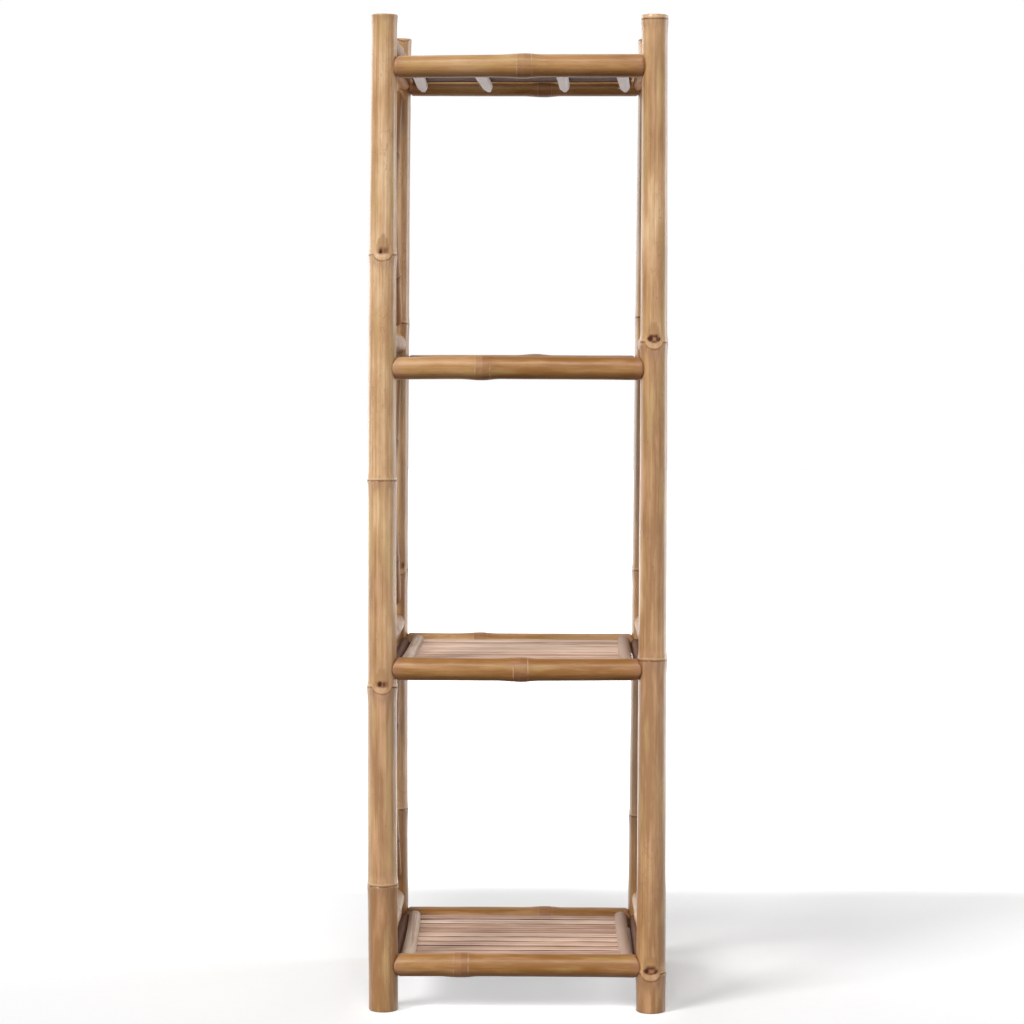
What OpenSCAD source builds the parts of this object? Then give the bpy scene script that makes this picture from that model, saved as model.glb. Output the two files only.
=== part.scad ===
// Open four-tier bookcase of bamboo culms: two X-braced side frames joined by four slatted shelves.
// Millimetres. X runs from left to right, the front faces -Y, and Z points up.
// The origin lies on the floor, midway between the four posts.

/* [Frame] */
// Height of the posts
post_height = 1200; // [1186:1:1500]
// Distance between the left and right post axes
post_spacing_x = 326; // [260:1:700]
// Distance between the front and rear post axes
post_spacing_y = 295; // [220:1:450]
// Height of the lowest shelf's rail axes above the floor
level_first = 55; // [30:1:68]
// Height from one shelf to the next
level_pitch = 362; // [280:1:366]

/* [Posts] */
// Radius of a post at the floor
post_r_base = 18; // [16:0.5:21]
// Radius of a post at its top
post_r_top = 15; // [14.5:0.5:20]
// Wall of a post at its top, between its joints
post_wall = 5; // [3:0.5:7]
// How far the lip of a joint stands out of a post
post_lip = 1.6; // [0.5:0.1:2.5]
// Front left post: its first joint's height, the next internode, and what each internode gains
joints_front_left = [152, 236, 17]; // [0:1:400]
// Front right post: the same three values
joints_front_right = [46, 377, 5]; // [0:1:400]
// Rear left post: the same three values
joints_rear_left = [199, 312, 10]; // [0:1:400]
// Rear right post: the same three values
joints_rear_right = [182, 329, 1]; // [0:1:400]

/* [Rails] */
// Radius of the front and rear rails of a shelf
rail_r = 13.5; // [11:0.5:14]
// Radius of the side rails
side_rail_r = 13.5; // [11:0.5:14]
// Height of a side rail's axis above the axes of the shelf rails
side_rail_rise = 28; // [27.5:0.5:29.5]
// Radius of the hollow in every rail
rail_hollow_r = 6; // [4:0.5:8]
// How far the lip of a joint stands out of a rail
rail_lip = 1.2; // [0.3:0.1:2]
// Place of the joint in each front rail, lowest shelf first
front_rail_joints = [-68, 5, -41, 9]; // [-100:1:100]
// Place of the joint in each rear rail, lowest shelf first
rear_rail_joints = [34, -52, 20, 30]; // [-100:1:100]
// Place of the joint in each side rail, lowest first
side_rail_joints = [24, 0, -38, 30]; // [-90:1:90]

/* [Braces] */
// Radius of a brace
brace_r = 8.5; // [6:0.5:9]
// Height of a brace's lower end above the side rail under it
brace_rise = 22; // [18:0.5:60]
// How far a brace's upper end lies under the axes of the shelf rails above it
brace_drop = 21; // [20.5:0.5:60]
// How far the lip of a joint stands out of a brace
brace_lip = 0.8; // [0.2:0.1:1.5]
// Distance of a brace's joints from the crossing, below and above it
brace_joints = [-118, 86]; // [-140:1:140]

/* [Shelf frames] */
// Radius of the rod at each end of a shelf
side_rod_r = 7.5; // [5:0.5:8]
// Distance of that rod's axis from the post axes
side_rod_inset = 12; // [9:0.5:12.5]

/* [Slats and battens] */
// Number of slats in a shelf
slat_count = 10; // [4:1:14]
// Gap between neighbouring slats
slat_gap = 1.2; // [0.5:0.1:4]
// Thickness of a slat
slat_thickness = 5; // [3:0.5:7]
// How much lower a slat's long edges are than its crown
slat_crown = 0.9; // [0.2:0.1:2]
// Distance from the post axes to the ends of the slats
slat_inset = 24.5; // [23:0.5:28]
// Radius of the half-round battens over the slat ends
top_batten_r = 7.8; // [5:0.1:8]
// Distance from the post axes to the middle of those battens
top_batten_inset = 28.5; // [28:0.5:31]
// How deep those battens are let into the slats
top_batten_bed = 0.5; // [0.4:0.1:1]
// Number of battens under the slats
under_batten_count = 4; // [2:1:6]
// Width of a batten under the slats
under_batten_width = 12; // [8:0.5:16]
// Thickness of a batten under the slats
under_batten_thickness = 8; // [5:0.5:10]
// Distance from the post axes to the middle of the outer battens under the slats
under_batten_inset = 37; // [36:0.5:60]
// How far each inner batten under the slats lies to the right of an even spacing
under_batten_shifts = [-3, 12, 0, 0]; // [-14:1:14]

/* [Fasteners] */
// Clearance between a piece's end and what it is seated on
seat_gap = 0.2; // [0.1:0.05:0.3]
// Clearance round a screw, dowel, plug or pin
fit_gap = 0.1; // [0.05:0.01:0.2]
// Radius of the shelf rail screws
screw_r = 2; // [1.5:0.1:2.5]
// Length of the shelf rail screws
screw_length = 50; // [44:1:60]
// Radius of a screw's head
screw_head_r = 4; // [3:0.1:5]
// How deep a screw's head lies in the post
screw_sink = 1; // [0.6:0.1:2.5]
// Length of the plug in each end of a shelf rail
plug_length = 30; // [22:1:45]
// Radius of the dowels that hold the side rails
dowel_r = 5.9; // [4:0.1:5.9]
// How far a dowel reaches into a side rail
dowel_reach = 30; // [15:1:45]
// How far a dowel reaches into a post
dowel_bite = 9; // [5:0.5:12]
// Radius of the pins in the ends of the battens
pin_r = 1.5; // [1:0.1:2]
// How far a pin reaches into a rail
pin_bite = 6; // [3:0.5:7]
// How far a pin reaches into a batten
pin_reach = 9; // [5:0.5:11]
// Radius of the nails in the rods and braces
nail_r = 1.1; // [0.8:0.1:1.5]
// How far a nail reaches into a post
nail_bite = 6; // [4:0.5:9]
// How far a nail reaches into a shelf's side rod, and into each half of a brace
nail_reach = 24; // [12:1:40]
// Radius of the brads that hold the slats
brad_r = 0.8; // [0.5:0.1:1.2]

/* [Hidden] */
$fn = 64;

// Sides and ends: the left and the front count as -1, the right and the rear as 1.
LEFT = -1;
RIGHT = 1;
FRONT = -1;
REAR = 1;
LEVELS = [0, 1, 2, 3];
BAYS = [0, 1, 2];

POST_COLOR = [0.80, 0.66, 0.47];
RAIL_COLOR = [0.75, 0.56, 0.36];
BRACE_COLOR = [0.72, 0.57, 0.41];
SLAT_COLOR = [0.81, 0.67, 0.55];
BATTEN_COLOR = [0.84, 0.77, 0.70];
DOWEL_COLOR = [0.86, 0.76, 0.58];
STEEL_COLOR = [0.62, 0.60, 0.55];

// A culm's joint: height from the joint's lip, and the share of the lip's height that stands out there.
JOINT_FORM = [[-7, 0], [-1.2, 0.3], [0, 1], [1.2, 0.9], [5, 0.45], [14, 0]];
DIAPHRAGM = 3; // thickness of the wood that closes a culm at each joint
MAX_JOINTS = 12; // more joints than any post has
LEAST_HOLLOW = 6; // a shorter hollow than this is left solid
CUT = 1; // how far a cutter runs past the surface that it opens
SEAT_SPAN = 34; // half the height of the post's surface that an end is cut to
HEAD_DEPTH = 2.4; // height of a screw head's cone
RECESS_DEPTH = 1.6; // depth of the cross in a screw head
RECESS_WIDTH = 0.9; // width of each slot of that cross
RECESS_EDGE = 1.6; // distance from the ends of those slots to the head's rim
SKIN = 0.25; // overlap of two cuts that have to join
NAIL_SPREAD = 0.8; // share of a brace's radius within which the nails in its ends stay
BRAD_SINK = 0.6; // how far a brad's top lies under the wood
BLIND = 1.5; // wood that is left beyond the tip of a brad

half_x = post_spacing_x / 2;
half_y = post_spacing_y / 2;
slat_length = post_spacing_x - 2 * slat_inset;
slat_pitch = (post_spacing_y - 2 * (rail_r + rail_lip + seat_gap)) / slat_count;
slat_width = slat_pitch - slat_gap;
top_batten_base = slat_thickness - top_batten_bed + seat_gap; // height of its underside above the rail axes
under_batten_step = (post_spacing_x - 2 * under_batten_inset) / (under_batten_count - 1);

function level_z(i) = level_first + i * level_pitch;
function side_rail_z(i) = level_z(i) + side_rail_rise;
function slat_y(i) = (i - (slat_count - 1) / 2) * slat_pitch;
function under_batten_x(i) =
    under_batten_inset - half_x + i * under_batten_step
    + (i > 0 && i < under_batten_count - 1 ? under_batten_shifts[i - 1] : 0);

// Joint places of a post, as long as they lie inside it.
function post_joints(side, end) =
    let (v = side == LEFT ? (end == FRONT ? joints_front_left : joints_rear_left)
                          : (end == FRONT ? joints_front_right : joints_rear_right))
    [for (k = [0:MAX_JOINTS]) let (z = v[0] + v[1] * k + v[2] * k * (k - 1) / 2)
        if (z > 0 && z < post_height) z];

// Radius of a culm at height z, with its taper and its joints.
function culm_r(z, taper, lip, joints, i = 0) =
    i == len(joints) ? taper[0] + (taper[1] - taper[0]) * z / taper[2]
                     : lip * lookup(z - joints[i], JOINT_FORM) + culm_r(z, taper, lip, joints, i + 1);

// Outside of a culm from z0 to z1. taper holds its radius at 0, its radius at a height, and that height.
module culm_form(z0, z1, taper, lip, joints, grow = 0) {
    heights = concat([z0], [for (j = joints, p = JOINT_FORM) if (j + p[0] > z0 && j + p[0] < z1) j + p[0]], [z1]);
    rotate_extrude()
        polygon(concat([[0, z0]],
                       [for (z = heights) [culm_r(z, taper, lip, joints) + grow, z]],
                       [[0, z1]]));
}

// Hollows between the joints of a culm that is cut open at z0 and z1.
module culm_hollows(z0, z1, r, joints) {
    floors = concat([z0 - CUT], [for (j = joints) j + DIAPHRAGM / 2]);
    roofs = concat([for (j = joints) j - DIAPHRAGM / 2], [z1 + CUT]);
    for (i = [0:len(joints)])
        if (min(roofs[i], z1) - max(floors[i], z0) > LEAST_HOLLOW)
            translate([0, 0, floors[i]])
                cylinder(h = roofs[i] - floors[i], r = r);
}

module along_x() {
    rotate([0, 90, 0])
        children();
}

module along_y() {
    rotate([-90, 0, 0])
        children();
}

// A straight round pin, hole or dowel from y0 to y1.
module rod_y(y0, y1, r) {
    translate([0, min(y0, y1), 0])
        along_y()
            cylinder(h = abs(y1 - y0), r = r);
}

module rod_x(x0, x1, r) {
    translate([min(x0, x1), 0, 0])
        along_x()
            cylinder(h = abs(x1 - x0), r = r);
}

// The outer form of one post, between two heights.
module post_form(side, end, z0, z1, grow = 0) {
    translate([side * half_x, end * half_y, 0])
        culm_form(z0, z1, [post_r_base, post_r_top, post_height], post_lip, post_joints(side, end), grow);
}

// What an end at height z is cut to, so that it is seated on the post.
module post_seat(side, end, z) {
    post_form(side, end, max(z - SEAT_SPAN, 0), min(z + SEAT_SPAN, post_height + CUT), seat_gap);
}

// Where an axis at height z leaves a post, measured from the post's axis.
function post_r_at(z) = post_r_base + (post_r_top - post_r_base) * z / post_height;

// Screws of the shelf rails. They run along X through the post, inwards from its outer surface.
module screw(grow = 0) {
    translate([screw_sink, 0, 0])
        along_x() {
            cylinder(h = HEAD_DEPTH + grow, r1 = screw_head_r + grow, r2 = screw_r + grow);
            cylinder(h = screw_length + grow, r = screw_r + grow);
        }
}

module screw_places(sides = [LEFT, RIGHT], ends = [FRONT, REAR], levels = LEVELS) {
    for (side = sides, end = ends, i = levels)
        translate([side * (half_x + post_r_at(level_z(i))), end * half_y, level_z(i)])
            rotate([0, 0, side == LEFT ? 0 : 180])
                children();
}

module rail_screws() {
    recess_length = 2 * (screw_head_r - RECESS_EDGE);
    color(STEEL_COLOR)
        screw_places()
            difference() {
                screw();
                for (turn = [0, 90])
                    rotate([turn, 0, 0])
                        translate([screw_sink - CUT, -recess_length / 2, -RECESS_WIDTH / 2])
                            cube([RECESS_DEPTH + CUT, recess_length, RECESS_WIDTH]);
            }
}

// The counterbore overlaps the head's cone by SKIN, so that the two cuts join.
module screw_holes(side, end) {
    screw_places([side], [end]) {
        screw(fit_gap);
        rod_x(-post_r_base, screw_sink + SKIN, screw_head_r + fit_gap);
    }
}

// Dowels of the side rails, from inside the post to inside the rail.
module dowel_places(sides = [LEFT, RIGHT], ends = [FRONT, REAR], levels = LEVELS) {
    for (side = sides, end = ends, i = levels)
        translate([side * half_x, end * (half_y - post_r_at(side_rail_z(i))), side_rail_z(i)])
            rotate([0, 0, end == FRONT ? 0 : 180])
                children();
}

module side_rail_dowels() {
    color(DOWEL_COLOR)
        dowel_places()
            rod_y(-dowel_bite, dowel_reach, dowel_r);
}

// Braces: in each bay a long one falls from front to rear, and two half ones rise to it and beyond it.
function brace_low_z(bay) = side_rail_z(bay) + side_rail_r + brace_rise;
function brace_high_z(bay) = level_z(bay + 1) - brace_drop;
brace_dy = post_spacing_y - post_r_base - post_r_top;
brace_dz = brace_high_z(0) - brace_low_z(0);
brace_slope = atan2(brace_dz, brace_dy);
brace_half = norm([brace_dy, brace_dz]) / 2 + post_r_base;

// Puts +Z along a brace, with the origin at the crossing.
module brace_frame(side, bay, rising) {
    translate([side * half_x, 0, (brace_low_z(bay) + brace_high_z(bay)) / 2])
        rotate([(rising ? -1 : 1) * (90 - brace_slope), 0, 0])
            children();
}

module long_brace_form(side, bay) {
    brace_frame(side, bay, false)
        culm_form(-brace_half, brace_half, [brace_r, brace_r, brace_half], brace_lip, brace_joints);
}

// What the half braces are cut to at the crossing.
module crossing_seat(side, bay) {
    brace_frame(side, bay, false)
        cylinder(h = brace_half, r = brace_r + seat_gap, center = true);
}

// Nails in the ends of the braces run along Y into the posts.
module brace_nail_places(side, ends, bays = BAYS, ways = [true, false]) {
    for (bay = bays, end = ends, rising = ways)
        let (z = rising == (end == FRONT) ? brace_low_z(bay) : brace_high_z(bay))
            translate([side * half_x, end * (half_y - post_r_at(z)), z])
                rotate([0, 0, end == FRONT ? 0 : 180])
                    children();
}

brace_nail_reach = NAIL_SPREAD * brace_r / sin(brace_slope);

// A nail through each crossing joins the two half braces to the long one.
module crossing_nail(side, bay, grow = 0) {
    brace_frame(side, bay, true)
        cylinder(h = 2 * (brace_r + nail_reach + grow), r = nail_r + grow, center = true);
}

module long_brace(side, bay) {
    color(BRACE_COLOR)
        difference() {
            long_brace_form(side, bay);
            post_seat(side, FRONT, brace_high_z(bay));
            post_seat(side, REAR, brace_low_z(bay));
            brace_nail_places(side, [FRONT, REAR], [bay], [false])
                rod_y(-post_r_base, brace_nail_reach + fit_gap, nail_r + fit_gap);
            crossing_nail(side, bay, fit_gap);
        }
}

module half_brace(side, bay, end) {
    color(BRACE_COLOR)
        difference() {
            brace_frame(side, bay, true)
                culm_form(end == FRONT ? -brace_half : 0, end == FRONT ? 0 : brace_half,
                          [brace_r, brace_r, brace_half], brace_lip, brace_joints);
            post_seat(side, end, end == FRONT ? brace_low_z(bay) : brace_high_z(bay));
            crossing_seat(side, bay);
            brace_nail_places(side, [end], [bay], [true])
                rod_y(-post_r_base, brace_nail_reach + fit_gap, nail_r + fit_gap);
            crossing_nail(side, bay, fit_gap);
        }
}

// Posts, with the holes for everything that is driven into them.
module post(side, end) {
    color(POST_COLOR)
        difference() {
            post_form(side, end, 0, post_height);
            translate([side * half_x, end * half_y, 0])
                culm_hollows(0, post_height, post_r_top - post_wall, post_joints(side, end));
            screw_holes(side, end);
            dowel_places([side], [end])
                rod_y(-dowel_bite - fit_gap, post_r_base, dowel_r + fit_gap);
            brace_nail_places(side, [end])
                rod_y(-nail_bite - fit_gap, post_r_base, nail_r + fit_gap);
            side_rod_nail_places([side], [end])
                rod_y(-nail_bite - fit_gap, post_r_base, nail_r + fit_gap);
        }
}

// Side rails run along Y between a front and a rear post.
module side_rail(side, i) {
    color(RAIL_COLOR)
        difference() {
            translate([side * half_x, 0, side_rail_z(i)])
                along_y()
                    difference() {
                        culm_form(-half_y, half_y, [side_rail_r, side_rail_r, half_y], rail_lip, [side_rail_joints[i]]);
                        culm_hollows(-half_y, half_y, dowel_r + fit_gap, [side_rail_joints[i]]);
                    }
            for (end = [FRONT, REAR])
                post_seat(side, end, side_rail_z(i));
        }
}

// Front and rear rails of a shelf, whose open ends hold the plugs that the screws bite in.
function shelf_rail_joint(i, end) = end == FRONT ? front_rail_joints[i] : rear_rail_joints[i];

module shelf_rail_form(i, end, grow = 0) {
    translate([0, end * half_y, level_z(i)])
        along_x()
            culm_form(-half_x, half_x, [rail_r, rail_r, half_x], rail_lip, [shelf_rail_joint(i, end)], grow);
}

module shelf_rail(i, end) {
    color(RAIL_COLOR)
        difference() {
            shelf_rail_form(i, end);
            translate([0, end * half_y, level_z(i)])
                along_x()
                    culm_hollows(-half_x, half_x, rail_hollow_r, [shelf_rail_joint(i, end)]);
            for (side = [LEFT, RIGHT])
                post_seat(side, end, level_z(i));
            pin_places(i, [end])
                rod_y(-pin_bite - fit_gap, 2 * rail_r, pin_r + fit_gap);
            side_rod_nail_places(ends = [end], levels = [i])
                rod_y(-post_r_base, post_r_base, nail_r + fit_gap);
        }
}

// Each plug is cut to the post together with its rail.
module rail_plugs() {
    color(DOWEL_COLOR)
        for (side = [LEFT, RIGHT], end = [FRONT, REAR], i = LEVELS)
            difference() {
                screw_places([side], [end], [i])
                    rod_x(post_r_at(level_z(i)), 2 * post_r_at(level_z(i)) + plug_length, rail_hollow_r - fit_gap);
                post_seat(side, end, level_z(i));
                screw_places([side], [end], [i])
                    screw(fit_gap);
            }
}

// Rods at the ends of a shelf run along Y, next to the posts.
module side_rods(i) {
    color(RAIL_COLOR)
        for (side = [LEFT, RIGHT])
            difference() {
                translate([side * (half_x - side_rod_inset), -half_y, level_z(i)])
                    along_y()
                        cylinder(h = post_spacing_y, r = side_rod_r);
                for (end = [FRONT, REAR]) {
                    post_seat(side, end, level_z(i));
                    shelf_rail_form(i, end, seat_gap);
                }
                side_rod_nail_places([side], levels = [i])
                    rod_y(-post_r_base, nail_reach + fit_gap, nail_r + fit_gap);
            }
}

module side_rod_nail_places(sides = [LEFT, RIGHT], ends = [FRONT, REAR], levels = LEVELS) {
    for (side = sides, end = ends, i = levels)
        translate([side * (half_x - side_rod_inset), end * (half_y - rail_r), level_z(i)])
            rotate([0, 0, end == FRONT ? 0 : 180])
                children();
}

// Nails of the side rods, of the brace ends and of the brace crossings.
module frame_nails() {
    color(STEEL_COLOR) {
        side_rod_nail_places()
            rod_y(-nail_bite, nail_reach, nail_r);
        for (side = [LEFT, RIGHT]) {
            brace_nail_places(side, [FRONT, REAR])
                rod_y(-nail_bite, brace_nail_reach, nail_r);
            for (bay = BAYS)
                crossing_nail(side, bay);
        }
    }
}

// Slats run along X, with their undersides at the height of the rail axes.
module slats(i) {
    color(SLAT_COLOR)
        for (k = [0:slat_count - 1])
            difference() {
                translate([-slat_length / 2, slat_y(k), level_z(i)])
                    rotate([90, 0, 90])
                        linear_extrude(slat_length)
                            polygon([[-slat_width / 2, 0], [slat_width / 2, 0],
                                     [slat_width / 2, slat_thickness - slat_crown],
                                     [slat_width / 4, slat_thickness], [-slat_width / 4, slat_thickness],
                                     [-slat_width / 2, slat_thickness - slat_crown]]);
                top_batten_beds(i);
                brads(i, fit_gap, [k]);
            }
}

// What is cut from the slat ends, so that the half-round battens lie in them.
module top_batten_beds(i) {
    bed_length = top_batten_inset + top_batten_r + fit_gap;
    for (side = [LEFT, RIGHT])
        translate([side * half_x, 0, level_z(i) + slat_thickness - top_batten_bed + CUT])
            cube([2 * bed_length, post_spacing_y, 2 * CUT], center = true);
}

// Half-round battens lie over the slat ends.
module top_battens(i) {
    top_batten_half = half_y - rail_r - rail_lip - seat_gap;
    color(BATTEN_COLOR)
        for (side = [LEFT, RIGHT])
            difference() {
                translate([side * (half_x - top_batten_inset), 0, level_z(i) + top_batten_base])
                    along_y()
                        intersection() {
                            cylinder(h = 2 * top_batten_half, r = top_batten_r, center = true);
                            translate([0, -top_batten_r, 0])
                                cube([4 * top_batten_r, 2 * top_batten_r, 4 * top_batten_half], center = true);
                        }
                brads(i, fit_gap);
            }
}

// Flat battens run along Y under the slats, from the front rail to the rear rail.
module under_battens(i) {
    color(BATTEN_COLOR)
        for (k = [0:under_batten_count - 1])
            difference() {
                translate([under_batten_x(k) - under_batten_width / 2, -half_y,
                           level_z(i) - under_batten_thickness - seat_gap])
                    cube([under_batten_width, post_spacing_y, under_batten_thickness]);
                for (end = [FRONT, REAR])
                    shelf_rail_form(i, end, seat_gap);
                pin_places(i, battens = [k])
                    rod_y(-pin_bite, pin_reach + fit_gap, pin_r + fit_gap);
                brads(i, fit_gap);
            }
}

// Pins hold the ends of those battens to the rails.
module pin_places(i, ends = [FRONT, REAR], battens = [0:under_batten_count - 1]) {
    for (end = ends, k = battens)
        translate([under_batten_x(k), end * (half_y - rail_r), level_z(i) - seat_gap - under_batten_thickness / 2])
            rotate([0, 0, end == FRONT ? 0 : 180])
                children();
}

module under_batten_pins() {
    color(DOWEL_COLOR)
        for (i = LEVELS)
            pin_places(i)
                rod_y(-pin_bite, pin_reach, pin_r);
}

// Brads: through the end battens down into the slats, and through the under battens up into the slats.
module brads(i, grow = 0, slats = [0:slat_count - 1]) {
    down_to = under_batten_thickness - BLIND;
    for (k = slats) {
        for (side = [LEFT, RIGHT])
            translate([side * (half_x - brad_inset), slat_y(k), level_z(i) - down_to - grow])
                cylinder(h = down_to + top_batten_base + brad_cover - BRAD_SINK + (grow > 0 ? top_batten_r : 0),
                         r = brad_r + grow);
        for (b = [1:1:under_batten_count - 2])
            translate([under_batten_x(b), slat_y(k), level_z(i) - under_batten_thickness - (grow > 0 ? CUT : 0)])
                cylinder(h = under_batten_thickness + slat_thickness - BLIND + (grow > 0 ? CUT : 0) + grow,
                         r = brad_r + grow);
    }
}

// The end brads stand where the half-round batten and the outer under batten overlap.
brad_inset = (top_batten_inset + top_batten_r + under_batten_inset - under_batten_width / 2) / 2;
brad_cover = sqrt(pow(top_batten_r, 2) - pow(brad_inset - top_batten_inset, 2));

module slat_brads() {
    color(STEEL_COLOR)
        for (i = LEVELS)
            brads(i);
}

post(LEFT, FRONT);  // post_front_left
post(RIGHT, FRONT);  // post_front_right
post(LEFT, REAR);  // post_rear_left
post(RIGHT, REAR);  // post_rear_right
side_rail(LEFT, 0);  // side_rail_left_1
side_rail(LEFT, 1);  // side_rail_left_2
side_rail(LEFT, 2);  // side_rail_left_3
side_rail(LEFT, 3);  // side_rail_left_4
side_rail(RIGHT, 0);  // side_rail_right_1
side_rail(RIGHT, 1);  // side_rail_right_2
side_rail(RIGHT, 2);  // side_rail_right_3
side_rail(RIGHT, 3);  // side_rail_right_4
long_brace(LEFT, 0);  // brace_left_1_long
half_brace(LEFT, 0, FRONT);  // brace_left_1_lower
half_brace(LEFT, 0, REAR);  // brace_left_1_upper
long_brace(LEFT, 1);  // brace_left_2_long
half_brace(LEFT, 1, FRONT);  // brace_left_2_lower
half_brace(LEFT, 1, REAR);  // brace_left_2_upper
long_brace(LEFT, 2);  // brace_left_3_long
half_brace(LEFT, 2, FRONT);  // brace_left_3_lower
half_brace(LEFT, 2, REAR);  // brace_left_3_upper
long_brace(RIGHT, 0);  // brace_right_1_long
half_brace(RIGHT, 0, FRONT);  // brace_right_1_lower
half_brace(RIGHT, 0, REAR);  // brace_right_1_upper
long_brace(RIGHT, 1);  // brace_right_2_long
half_brace(RIGHT, 1, FRONT);  // brace_right_2_lower
half_brace(RIGHT, 1, REAR);  // brace_right_2_upper
long_brace(RIGHT, 2);  // brace_right_3_long
half_brace(RIGHT, 2, FRONT);  // brace_right_3_lower
half_brace(RIGHT, 2, REAR);  // brace_right_3_upper
shelf_rail(0, FRONT);  // shelf_1_front_rail
shelf_rail(1, FRONT);  // shelf_2_front_rail
shelf_rail(2, FRONT);  // shelf_3_front_rail
shelf_rail(3, FRONT);  // shelf_4_front_rail
shelf_rail(0, REAR);  // shelf_1_rear_rail
shelf_rail(1, REAR);  // shelf_2_rear_rail
shelf_rail(2, REAR);  // shelf_3_rear_rail
shelf_rail(3, REAR);  // shelf_4_rear_rail
side_rods(0);  // shelf_1_side_rods
side_rods(1);  // shelf_2_side_rods
side_rods(2);  // shelf_3_side_rods
side_rods(3);  // shelf_4_side_rods
slats(0);  // shelf_1_slats
slats(1);  // shelf_2_slats
slats(2);  // shelf_3_slats
slats(3);  // shelf_4_slats
top_battens(0);  // shelf_1_top_battens
top_battens(1);  // shelf_2_top_battens
top_battens(2);  // shelf_3_top_battens
top_battens(3);  // shelf_4_top_battens
under_battens(0);  // shelf_1_under_battens
under_battens(1);  // shelf_2_under_battens
under_battens(2);  // shelf_3_under_battens
under_battens(3);  // shelf_4_under_battens
rail_screws();
rail_plugs();
side_rail_dowels();
under_batten_pins();
frame_nails();
slat_brads();
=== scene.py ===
"""Open bamboo bookcase: four slatted shelves between two cross-braced side frames.

Metres. X runs to the right, the front faces -Y and Z points up, as in the CAD frame.
"""

import math
from types import SimpleNamespace

import bpy
from mathutils import Matrix, Vector


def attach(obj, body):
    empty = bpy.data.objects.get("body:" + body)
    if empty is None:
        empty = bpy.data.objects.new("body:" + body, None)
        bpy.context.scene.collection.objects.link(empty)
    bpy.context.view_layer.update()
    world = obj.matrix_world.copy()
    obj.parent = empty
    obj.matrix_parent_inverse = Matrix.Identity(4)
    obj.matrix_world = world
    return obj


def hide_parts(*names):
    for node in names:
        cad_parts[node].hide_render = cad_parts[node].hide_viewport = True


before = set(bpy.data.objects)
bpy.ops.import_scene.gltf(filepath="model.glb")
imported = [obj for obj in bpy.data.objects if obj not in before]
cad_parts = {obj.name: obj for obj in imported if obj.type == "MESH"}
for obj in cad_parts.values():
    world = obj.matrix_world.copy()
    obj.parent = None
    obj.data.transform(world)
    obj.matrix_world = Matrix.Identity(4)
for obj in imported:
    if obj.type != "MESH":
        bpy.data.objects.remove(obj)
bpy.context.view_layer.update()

# The frame's own sizes, as in the part's source.
POST_HEIGHT = 1.2
POST_BASE_RADIUS = 0.0178
POST_TOP_RADIUS = 0.0150
HALF_X = 0.163
HALF_Y = 0.1475
LEVELS = [0.055 + 0.362 * i for i in range(4)]
SIDE_RAIL_RISE = 0.028
RAIL_RADIUS = 0.0135
SEAT_GAP = 0.0002
BRACE_RADIUS = 0.0085
BRACE_LOW = 0.0635
BRACE_HIGH = 0.341
TOP_BATTEN_X = 0.1345
TOP_BATTEN_RADIUS = 0.0078
TOP_BATTEN_BASE = 0.0047
TOP_BATTEN_LENGTH = 0.2652
UNDER_BATTEN_THICKNESS = 0.008

SIDES = {"left": -1, "right": 1}
ENDS = {"front": -1, "rear": 1}


# Nodes written as formulas

def operator(operation, swapped=False):
    """A Python operator that makes a math node."""
    def apply(self, other):
        return math_node(operation, other, self) if swapped else math_node(operation, self, other)
    return apply


class Value:
    """One output of a node, which takes part in formulas like a number."""

    __add__, __radd__ = operator("ADD"), operator("ADD", swapped=True)
    __sub__, __rsub__ = operator("SUBTRACT"), operator("SUBTRACT", swapped=True)
    __mul__, __rmul__ = operator("MULTIPLY"), operator("MULTIPLY", swapped=True)
    __truediv__ = operator("DIVIDE")

    def __init__(self, node, output=0):
        self.tree = node.id_data
        self.socket = node.outputs[output]

    def __neg__(self):
        return self * -1.0


def feed(node, inputs):
    """Gives a node its inputs, which are values or plain numbers, colours and the like."""
    for key, value in inputs.items():
        if isinstance(value, Value):
            node.id_data.links.new(value.socket, node.inputs[key])
        else:
            node.inputs[key].default_value = value


def make(tree, kind, inputs=None, output=0, **settings):
    node = tree.nodes.new(kind)
    for name, value in settings.items():
        setattr(node, name, value)
    feed(node, inputs or {})
    return Value(node, output)


def tree_of(*values):
    """The tree of a formula, some of whose values may be plain numbers."""
    return next(value.tree for value in values if isinstance(value, Value))


def math_node(operation, *values, use_clamp=False):
    inputs = dict(enumerate(values))
    return make(tree_of(*values), "ShaderNodeMath", inputs, operation=operation, use_clamp=use_clamp)


def clamp(value):
    return math_node("ADD", value, 0.0, use_clamp=True)


def square(value):
    return value * value


def size(value):
    return math_node("ABSOLUTE", value)


def sqrt(value):
    return math_node("SQRT", math_node("MAXIMUM", value, 0.0))


def bell(value, width):
    """1 where value is 0, falling to nothing a few widths away."""
    return math_node("EXPONENT", -square(value / width))


def smooth(value, low, high):
    """0 below low, 1 above high and smooth between them."""
    inputs = {"Value": value, "From Min": low, "From Max": high}
    return make(value.tree, "ShaderNodeMapRange", inputs, interpolation_type="SMOOTHSTEP")


def vector(x, y, z):
    return make(tree_of(x, y, z), "ShaderNodeCombineXYZ", {0: x, 1: y, 2: z})


def split(value):
    node = make(value.tree, "ShaderNodeSeparateXYZ", {0: value}).socket.node
    return [Value(node, part) for part in range(3)]


def noise(place, detail=2.0, roughness=0.5, scale=1.0):
    """Soft noise about zero, mostly between -0.5 and 0.5."""
    inputs = {"Vector": place, "Scale": scale, "Detail": detail, "Roughness": roughness}
    return make(place.tree, "ShaderNodeTexNoise", inputs) - 0.5


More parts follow.
